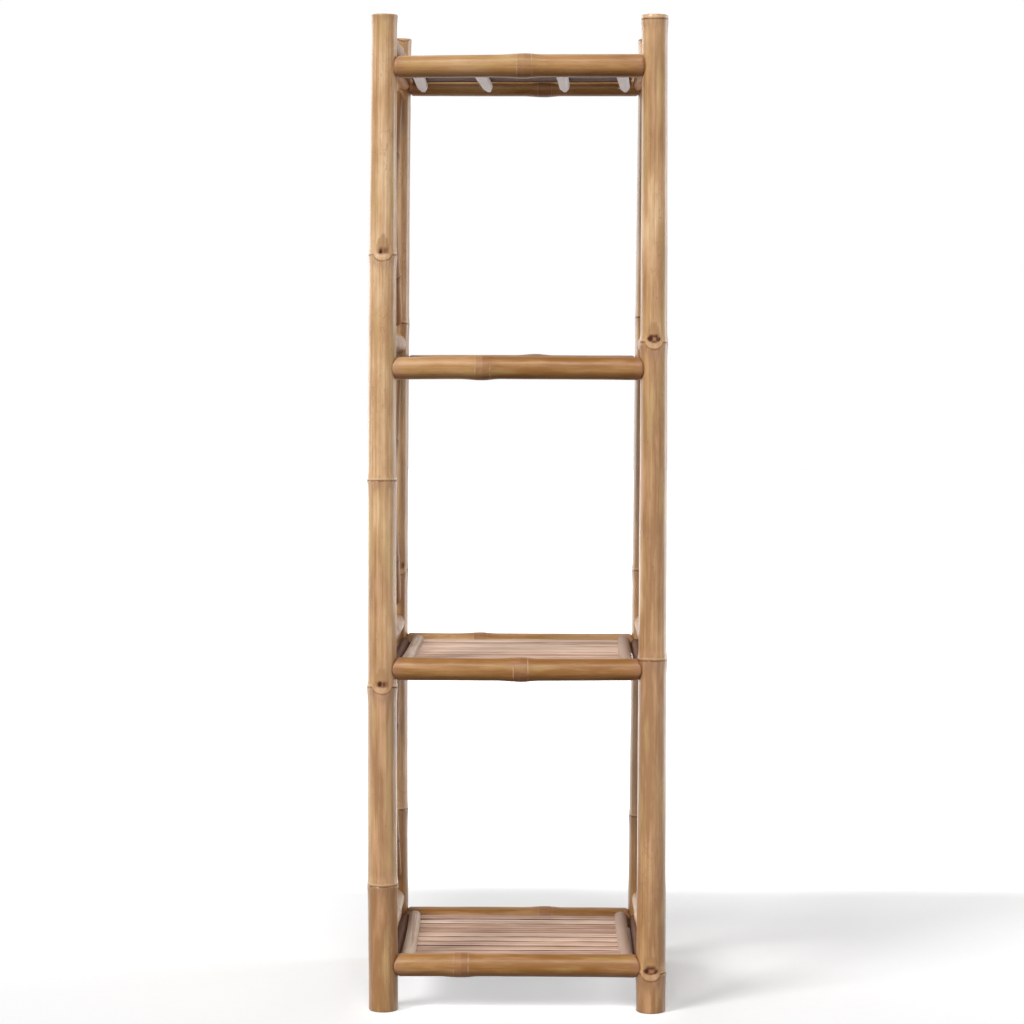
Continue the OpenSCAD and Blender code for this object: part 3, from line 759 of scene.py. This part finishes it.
def make_battens(top_material, under_material):
    tree = build_batten_tree()
    for i, level in enumerate(LEVELS):
        seed = 60.0 + 10 * i
        tops = []
        for side, way in SIDES.items():
            aside, skew = TOP_BATTEN_PLACES[side][i % 2]
            tops.append(mesh_from_tree(f"top_batten_{side}", tree, {
                **BATTEN, **TOP_BATTEN, "skew": skew, "bend": way * -TOP_BATTEN_BEND,
                "place": (way * TOP_BATTEN_X + aside, 0, level + TOP_BATTEN_BASE), "seed": seed + way,
                "tone": TOP_BATTEN_TONES[side], "material": top_material}))
        hand_over(joined(f"half_round_battens_{i + 1}", tops), "batten_bamboo", f"shelf_{i + 1}_top_battens")
        unders = []
        for k, (x, skew) in enumerate(UNDER_BATTEN_PLACES):
            unders.append(mesh_from_tree(f"under_batten_{k}", tree, {
                **BATTEN, **UNDER_BATTEN, "skew": skew, "seed": seed + 3 + k, "material": under_material,
                "place": (x, 0, level - SEAT_GAP - UNDER_BATTEN["height"])}))
        hand_over(joined(f"flat_battens_{i + 1}", unders), "batten_bamboo", f"shelf_{i + 1}_under_battens")


# Materials

def linear(colour):
    """A colour for a socket: the screen's levels from 0 to 255 made linear, or a linear colour as it is."""
    if len(colour) == 4:
        return colour
    levels = [level / 255 for level in colour]
    return (*(v / 12.92 if v <= 0.04045 else ((v + 0.055) / 1.055) ** 2.4 for v in levels), 1.0)


def mix_colour(share, first, second):
    """Two colours mixed, each a value or levels; share 0 gives the first."""
    first, second = (colour if isinstance(colour, Value) else linear(colour) for colour in (first, second))
    inputs = {"Factor": share, 6: first, 7: second}
    return make(share.tree, "ShaderNodeMix", inputs, output=2, data_type="RGBA", clamp_factor=True)


def layered(colour, *layers):
    """A colour with others laid over it in turn, each with its share."""
    for share, over in layers:
        colour = mix_colour(share, colour, over)
    return colour


SKIN_INPUTS = {
    **dict.fromkeys(("grain", "marks", "scar_marks", "place_marks"), (0, 0, 0)),
    **dict.fromkeys(("pale", "middle", "deep", "stain"), (0, 0, 0, 1)),
    **dict.fromkeys(("above_joint", "tone", "streaks", "mottling", "flecks", "tints", "band",
                     "base_roughness"), 0.0),
}
SKIN_OUTPUTS = {"color": (0, 0, 0, 1), "roughness": 0.0, "height": 0.0, "shine": 0.0}


def build_skin_group():
    """Colour, roughness and relief of a culm's skin, with its fibres, streaks, flecks, joints and scars, and
    painted shade and highlight at joints, rail ends and undersides.
    """
    tree, given = new_tree("Bamboo skin", "ShaderNodeTree", SKIN_INPUTS, SKIN_OUTPUTS)
    x, y, z = place = split(given.grain)
    fibres = noise_over(place, (1500, 1500, 20))
    streaks = noise_over(place, (260, 260, 5), 4.0, 0.6)
    mottling = noise_over(place, (45, 45, 11), 4.0, 0.55)
    clouds = noise_over(place, (120, 120, 70), 5.0, 0.6)
    hue = noise(vector(x * 75, y * 75, z * 10 + 5), 3.0)
    pith = noise_over(place, (900, 900, 900))
    flecks = smooth(noise_over(place, (560, 560, 110)), 0.19, 0.27) * given.flecks
    level_field = noise_over(place, (34, 34, 17), 4.0, 0.6)
    weathered = smooth(noise_over(place, (20, 20, 6), 1.0), 0.02, 0.14)
    water_lines = bell(level_field - 0.03, 0.007) * weathered * given.flecks

    below, painted_end_shade, scarred = split(given.place_marks)
    pad, buds, cut = split(given.marks)
    rim, tongue, furrow = split(given.scar_marks)

    # Round the joint of a post: painted shade under the ridge's lip, a dark seam on the line, a painted
    # highlight on the lip over it and a flush above.
    above = given.above_joint + clouds * 0.0012
    on_post = 1 - given.band
    stain = bell(above + 0.0055, 0.0065) * clamp(0.55 + clouds * 2.2) * on_post
    painted_lip_highlight = bell(above - 0.0024, 0.0015) * clamp(0.75 + streaks * 1.6) * on_post
    flush = bell(above - 0.0085, 0.0045) * clamp(0.4 + clouds * 2.0) * on_post
    seam = bell(above, 0.00105) * clamp(0.85 + clouds * 2.6) * on_post

    # Round the joint of a rail: a mottled band with pale edges and dark grooves, in a stained stretch.
    from_joint = size(given.above_joint)
    band = smooth(from_joint + clouds * 0.0005, 0.0083, 0.0070) * given.band
    near_band = smooth(from_joint, 0.020, 0.008) * given.band
    band_edge = bell(from_joint - 0.0086, 0.0009) * given.band
    band_groove = bell(from_joint - 0.0076, 0.00055) * given.band
    mottled = mix_colour(clamp(0.5 + clouds * 2.6), (158, 112, 70), (122, 80, 56))

    dome_line = bell(furrow - 0.5, 0.25) * clamp(0.4 + clouds * 2.0)
    wood = mix_colour(clamp(0.5 + pith * 1.6), (206, 178, 134), (150, 112, 72))
    tone = given.tone + streaks * given.streaks + mottling * given.mottling + fibres * 0.24
    colour = layered(
        given.pale,
        (clamp(tone * 2), given.middle),
        (clamp(tone * 2 - 1), given.deep),
        (smooth(hue, 0.03, 0.22) * given.tints, (198, 152, 112)),
        (smooth(hue, -0.03, -0.22) * given.tints, (184, 156, 98)),
        (water_lines * 0.40, (132, 90, 62)),
        # Painted shade under the ridge's lip, then a painted highlight on the lip.
        (stain * 0.5, given.stain),
        (painted_lip_highlight * (0.42 - scarred * 0.25), (222, 192, 156)),
        (flush * 0.4, (206, 158, 122)),
        (seam * (0.95 - scarred * 0.20), (108, 68, 42)),
        (band * clamp(0.34 + clouds * 1.2), mottled),
        (near_band * 0.22, given.stain),
        (band_edge * clamp(0.12 + clouds * 1.8), (220, 186, 140)),
        (band_groove * clamp(0.22 + clouds * 1.8), (92, 58, 38)),
        (flecks * 0.55, (92, 58, 38)),
        (furrow * clamp(0.9 + streaks * 1.2), (152, 110, 60)),
        (dome_line * 0.5, (132, 92, 58)),
        (tongue * 0.12, (214, 176, 136)),
        (clamp(pad * (0.60 + clouds * 1.8)), (158, 112, 88)),
        (clamp(rim * (1.2 + clouds * 2.0)), (88, 50, 38)),
        (clamp(buds * 2.4), (62, 34, 16)),
        # Painted shade on the underside of rails and braces.
        (smooth(below, 0.2, 1.0) * 0.6, (92, 58, 36)),
        # Painted shade at the ends of rails, where they meet the posts.
        (painted_end_shade * given.band * 0.42, (150, 104, 82)),
        (cut, wood))
    roughness = given.base_roughness + clouds * 0.16 + fibres * 0.06 + pad * 0.25 + cut * 0.35 + flecks * 0.1
    dull = pad + rim + buds + cut + seam + smooth(below, 0.1, 0.7) * 0.8
    feed(tree.nodes.new("NodeGroupOutput"), {
        "Color": colour, "Roughness": clamp(roughness), "Shine": 1 - clamp(dull),
        "Height": fibres * 0.35 + streaks * 0.5 + clouds * 0.25 - flecks * 0.4})
    return tree


skin_group = build_skin_group()


def attribute(tree, name, output="Vector"):
    """An attribute of the mesh; output Fac gives a number."""
    return make(tree, "ShaderNodeAttribute", output=output, attribute_name=name)


def object_place(tree):
    return make(tree, "ShaderNodeTexCoord", output="Object")


def new_material(name, colour):
    """A material, its tree and its shader; colour is what a plain viewport shows."""
    material = bpy.data.materials.new(name)
    material.use_nodes = True
    material.diffuse_color = linear(colour)
    return material, material.node_tree, material.node_tree.nodes["Principled BSDF"]


def bump(height, distance, strength):
    return make(height.tree, "ShaderNodeBump", {"Height": height, "Distance": distance, "Strength": strength})


def culm_material(name, pale, middle, deep, stain, streaks=0.5, mottling=0.5, flecks=1.0, tints=0.35,
                  band=0.0, roughness=0.36, specular=0.5, coat=0.25, coat_roughness=0.2):
    """Skin of a culm: its fourth colour stains the joints of rails, and is painted shade under the joint
    ridges of posts and braces.
    """
    material, tree, shader = new_material(name, middle)
    skin = tree.nodes.new("ShaderNodeGroup")
    skin.node_tree = skin_group
    for key in ("grain", "marks", "scar_marks", "place_marks"):
        feed(skin, {label_of(key): attribute(tree, key)})
    feed(skin, {
        "Above Joint": attribute(tree, "above_joint", "Fac"), "Tone": attribute(tree, "tone", "Fac"),
        "Pale": linear(pale), "Middle": linear(middle), "Deep": linear(deep), "Stain": linear(stain),
        "Streaks": streaks, "Mottling": mottling, "Flecks": flecks, "Tints": tints, "Band": band,
        "Base Roughness": roughness})
    shine = Value(skin, "Shine")
    feed(shader, {
        "Base Color": Value(skin, "Color"), "Roughness": Value(skin, "Roughness"),
        "Normal": bump(Value(skin, "Height"), 0.0004, 0.35), "Coat Weight": shine * coat,
        "Coat Roughness": coat_roughness, "Specular IOR Level": 0.1 + shine * (specular - 0.1)})
    return material


def split_bamboo_material(name, pale, middle, deep, below, roughness):
    """Matte split bamboo, whose fibres run along the piece; below is the colour painted over its underside as
    shade.
    """
    material, tree, shader = new_material(name, middle)
    place = split(attribute(tree, "grain"))
    tone, edge = attribute(tree, "tone", "Fac"), attribute(tree, "edge", "Fac")
    underside = smooth(attribute(tree, "underside", "Fac"), 0.6, 1.0)
    fibres = noise_over(place, (14, 1400, 1400), 3.0)
    streaks = noise_over(place, (4, 260, 260), 3.0)
    clouds = noise_over(place, (30, 60, 60), 4.0)
    lines = bell(noise_over(place, (3, 85, 85)) - 0.09, 0.045)
    specks = noise_over(place, (240, 500, 500), 3.0)
    share = 0.14 + tone * 0.72 + fibres * 0.9 + streaks * 0.9 + clouds * 0.7
    colour = layered(
        mix_colour(clamp(share * 2), pale, middle),
        (clamp(share * 2 - 1), deep),
        # Painted highlight on the rounded edges of each slat, then painted shade in the gaps between slats.
        (bell(edge - 0.22, 0.10) * 0.35, (236, 216, 200)),
        (lines * 0.45, (126, 88, 70)),
        (smooth(edge, 0.26, 0.48) * 0.94, (74, 44, 32)),
        (smooth(specks, 0.16, 0.26) * 0.4, (112, 84, 70)),
        # Painted shade on the underside.
        (underside, below))
    feed(shader, {
        "Base Color": colour, "Roughness": clamp(roughness + clouds * 0.15 + fibres * 0.1),
        "Specular IOR Level": 0.35 - underside * 0.3, "Normal": bump(fibres + streaks * 0.6, 0.0003, 0.4)})
    return material


def rod_material(name, pale, dark):
    """Skin of the plain rods at the shelf ends, whose grain runs along Y."""
    material, tree, shader = new_material(name, pale)
    place = split(object_place(tree))
    fibres = noise_over(place, (1500, 20, 1500))
    streaks = noise_over(place, (260, 5, 260), 4.0)
    feed(shader, {
        "Base Color": mix_colour(clamp(0.5 + streaks * 1.4 + fibres * 0.8), pale, dark),
        "Roughness": clamp(0.62 + fibres * 0.2), "Specular IOR Level": 0.1,
        "Normal": bump(fibres + streaks, 0.0003, 0.3)})
    return material


def dowel_material():
    """Bare pale wood of the dowels, plugs and pins."""
    material, tree, shader = new_material("Dowel wood", (214, 190, 150))
    rings = noise_over(split(object_place(tree)), (300, 300, 300), 3.0)
    feed(shader, {
        "Base Color": mix_colour(clamp(0.5 + rings * 1.4), (226, 204, 166), (186, 152, 108)),
        "Roughness": clamp(0.7 + rings * 0.2), "Normal": bump(rings, 0.0002, 0.4)})
    return material


def steel_material():
    """Plain zinc-plated steel of the screws, nails and brads."""
    material, tree, shader = new_material("Fastener steel", (196, 192, 184))
    spangle = noise(object_place(tree), 3.0, scale=900.0)
    feed(shader, {
        "Base Color": mix_colour(clamp(0.5 + spangle), (206, 202, 194), (160, 156, 148)),
        "Roughness": clamp(0.38 + spangle * 0.3), "Metallic": 1.0, "Normal": bump(spangle, 0.00005, 0.3)})
    return material


def make_followers(name, node, material):
    """Fasteners as in the CAD node, each moved aside with the post it sits in."""
    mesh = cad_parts[node].data.copy()
    mesh.name = name
    for vertex in mesh.vertices:
        x, y, z = vertex.co
        side = "left" if x < 0 else "right"
        end = "front" if y < 0 else "rear"
        vertex.co.x = x + post_axis_x(end, side, z) - SIDES[side] * HALF_X
    mesh.materials.clear()
    mesh.materials.append(material)
    hand_over(add_object(name, mesh), "fastener_steel", node)


def dress_cad_nodes(material, names):
    """Puts a material that reads Object coordinates on CAD nodes that stay."""
    for name in names:
        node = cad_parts[name]
        node.data.materials.clear()
        node.data.materials.append(material)


# Camera, floor and light

CAMERA_PLACE = (0.05131, -3.7122, 0.8230)
CAMERA_YAW = 0.01618
CAMERA_PITCH = 0.0606
CAMERA_ROLL = 0.00216
CAMERA_LENS = 104.357


def make_camera():
    data = bpy.data.cameras.new("Camera")
    data.lens = CAMERA_LENS
    data.sensor_width = 36
    data.clip_start, data.clip_end = 0.05, 60
    camera = add_object("Camera", data)
    forward = Vector((-math.sin(CAMERA_YAW) * math.cos(CAMERA_PITCH),
                      math.cos(CAMERA_YAW) * math.cos(CAMERA_PITCH), -math.sin(CAMERA_PITCH)))
    level_right = Vector((math.cos(CAMERA_YAW), math.sin(CAMERA_YAW), 0))
    level_up = level_right.cross(forward)
    right = level_right * math.cos(CAMERA_ROLL) + level_up * math.sin(CAMERA_ROLL)
    up = right.cross(forward)
    turn = Matrix((right, up, -forward)).transposed().to_4x4()
    camera.matrix_world = Matrix.Translation(CAMERA_PLACE) @ turn
    bpy.context.scene.camera = camera


def two_ways(tree, output_kind, lighting, shown):
    """Ends a tree in one shader for rays that light things, and one for those that show it in the picture."""
    path = tree.nodes.new("ShaderNodeLightPath")
    seen = math_node("MAXIMUM", Value(path, "Is Camera Ray"), Value(path, "Is Glossy Ray"))
    seen = math_node("MAXIMUM", seen, Value(path, "Is Transmission Ray"))
    both = make(tree, "ShaderNodeMixShader", {0: seen, 1: lighting, 2: shown})
    feed(tree.nodes.new(output_kind), {"Surface": both})


FLOOR_SIZE = 14.0
FLOOR_GLOW_NEAR = 0.06
FLOOR_GLOW_FAR = 1.0
FLOOR_PAINTED_LIGHT_UNDER_BOOKCASE = 0.44
FLOOR_PALE = (0.81, 0.81, 0.81, 1)
FLOOR_DARKER = (0.79, 0.79, 0.79, 1)
FLOOR_DIM = (0.35, 0.34, 0.33, 1)
# The floor goes to white between these distances behind the bookcase, in front of it and to its sides.
WHITE_BEHIND = (0.58, 0.82)
WHITE_AHEAD = (0.45, 0.90)
WHITE_BESIDE = (0.85, 1.7)
WORLD_LIGHT = 0.25
WHITE = (1, 1, 1, 1)
BOOKCASE_MIDDLE = (0, 0, 0.65)


def make_floor():
    """A pale floor that keeps the shadow near the bookcase and goes to white farther off, with painted light
    under the bookcase that lightens its shadow there.
    """
    far = FLOOR_SIZE
    mesh = bpy.data.meshes.new("Floor")
    mesh.from_pydata([(-far, -far, 0), (far, -far, 0), (far, far, 0), (-far, far, 0)], [], [(0, 1, 2, 3)])
    floor = add_object("Floor", mesh)
    material = bpy.data.materials.new("Pale floor")
    material.use_nodes = True
    tree = material.node_tree
    tree.nodes.clear()
    x, y, _ = split(object_place(tree))
    whitened = math_node("MAXIMUM", smooth(y, *WHITE_BEHIND), smooth(-y, *WHITE_AHEAD))
    whitened = math_node("MAXIMUM", whitened, smooth(size(x), *WHITE_BESIDE))
    grain = noise(object_place(tree), scale=60.0)
    # Painted light: a glow on the floor under the bookcase that lightens the shadow there.
    below = smooth(size(x), 0.22, 0.10) * smooth(size(y), 0.30, 0.08)
    strength = FLOOR_GLOW_NEAR + whitened * (FLOOR_GLOW_FAR - FLOOR_GLOW_NEAR) + below * FLOOR_PAINTED_LIGHT_UNDER_BOOKCASE
    pale = mix_colour(clamp(0.5 + grain), FLOOR_PALE, FLOOR_DARKER)
    dim = make(tree, "ShaderNodeBsdfDiffuse", {"Color": FLOOR_DIM})
    lit = make(tree, "ShaderNodeAddShader", {
        0: make(tree, "ShaderNodeBsdfDiffuse", {"Color": pale}),
        1: make(tree, "ShaderNodeEmission", {"Color": WHITE, "Strength": strength})})
    two_ways(tree, "ShaderNodeOutputMaterial", dim, lit)
    mesh.materials.append(material)


def make_world():
    world = bpy.data.worlds.new("Studio")
    bpy.context.scene.world = world
    world.use_nodes = True
    tree = world.node_tree
    tree.nodes.clear()
    dim = make(tree, "ShaderNodeBackground", {"Color": WHITE, "Strength": WORLD_LIGHT})
    white = make(tree, "ShaderNodeBackground", {"Color": WHITE, "Strength": 1.0})
    two_ways(tree, "ShaderNodeOutputWorld", dim, white)


def add_lamp(name, data, azimuth, elevation, distance, middle=(0, 0, 0)):
    """A lamp that faces the point middle; azimuth 0 is in front of it and 90 at its right."""
    azimuth, elevation = math.radians(azimuth), math.radians(elevation)
    towards = Vector((math.sin(azimuth) * math.cos(elevation), -math.cos(azimuth) * math.cos(elevation),
                      math.sin(elevation)))
    turn = (-towards).to_track_quat("-Z", "Y").to_matrix().to_4x4()
    add_object(name, data).matrix_world = Matrix.Translation(Vector(middle) + towards * distance) @ turn


def make_sun(name, azimuth, elevation, spread, level):
    """A broad even light; level is how bright white paper that faces it comes out."""
    data = bpy.data.lights.new(name, "SUN")
    data.angle = math.radians(spread)
    data.energy = level * math.pi
    add_lamp(name, data, azimuth, elevation, 6)


def make_softbox(name, azimuth, elevation, distance, size, radiance):
    """A rectangular lamp that faces the middle of the bookcase."""
    data = bpy.data.lights.new(name, "AREA")
    data.shape = "RECTANGLE"
    data.size, data.size_y = size
    data.energy = radiance * math.pi * size[0] * size[1]
    add_lamp(name, data, azimuth, elevation, distance, BOOKCASE_MIDDLE)


def make_lights():
    make_sun("Key", azimuth=-45, elevation=35, spread=22, level=0.69)
    make_sun("Top", azimuth=0, elevation=53, spread=18, level=0.38)
    make_sun("Front fill", azimuth=4, elevation=14, spread=60, level=0.20)
    make_softbox("Left panel", azimuth=-134, elevation=8, distance=2.5, size=(1.9, 2.4), radiance=1.8)
    make_softbox("Right panel", azimuth=116, elevation=8, distance=2.6, size=(1.2, 2.2), radiance=3.0)


# Building

def build():
    make_camera()
    # The fourth colour of each culm material is painted shade under the joint ridges on posts and braces, and
    # stains the joints on rails.
    post = culm_material(
        "Post bamboo", (222, 188, 148), (180, 138, 90), (142, 98, 50), (136, 98, 72),
        streaks=1.3, mottling=1.7, tints=0.5, coat=0.4)
    rail = culm_material(
        "Rail bamboo", (192, 154, 112), (166, 122, 70), (134, 88, 34), (138, 88, 62),
        streaks=1.0, mottling=1.8, flecks=0.8, tints=0.40, band=1.0, roughness=0.45, specular=0.35,
        coat=0.10, coat_roughness=0.25)
    brace = culm_material(
        "Brace bamboo", (192, 152, 110), (166, 124, 84), (128, 88, 54), (104, 66, 44),
        streaks=0.9, roughness=0.5, specular=0.25, coat=0.03)
    # The last colour of each split bamboo material is painted over its underside as shade.
    slat = split_bamboo_material(
        "Slat bamboo", (224, 198, 178), (200, 167, 146), (162, 124, 100), (84, 58, 48), 0.62)
    batten = split_bamboo_material(
        "Batten bamboo", (226, 206, 188), (208, 182, 160), (162, 134, 115), (150, 120, 104), 0.60)
    under_batten = split_bamboo_material(
        "Under batten bamboo", (246, 244, 246), (236, 232, 234), (206, 198, 196), (240, 237, 240), 0.60)
    make_posts(post)
    make_shelf_rails(rail)
    make_side_rails(rail)
    make_braces(brace)
    make_slats(slat)
    make_battens(batten, under_batten)
    # The rods of the lower three shelves get a darker copy of the rod colours, which paints the shade they
    # lie in; the top shelf's rods keep the tan copy.
    shaded_rod_copy = rod_material("Rod bamboo with painted shade", (138, 96, 70), (78, 50, 37))
    tan_rod = rod_material("Tan rod bamboo", (196, 146, 100), (146, 98, 62))
    dress_cad_nodes(shaded_rod_copy, [f"shelf_{i}_side_rods" for i in (1, 2, 3)])
    dress_cad_nodes(tan_rod, ["shelf_4_side_rods"])
    steel = steel_material()
    make_followers("post_screws", "rail_screws", steel)
    make_followers("side_frame_nails", "frame_nails", steel)
    dress_cad_nodes(dowel_material(), ["rail_plugs", "side_rail_dowels", "under_batten_pins"])
    dress_cad_nodes(steel, ["slat_brads"])
    make_floor()
    make_world()
    make_lights()
    bpy.context.scene.view_settings.view_transform = "Standard"


build()
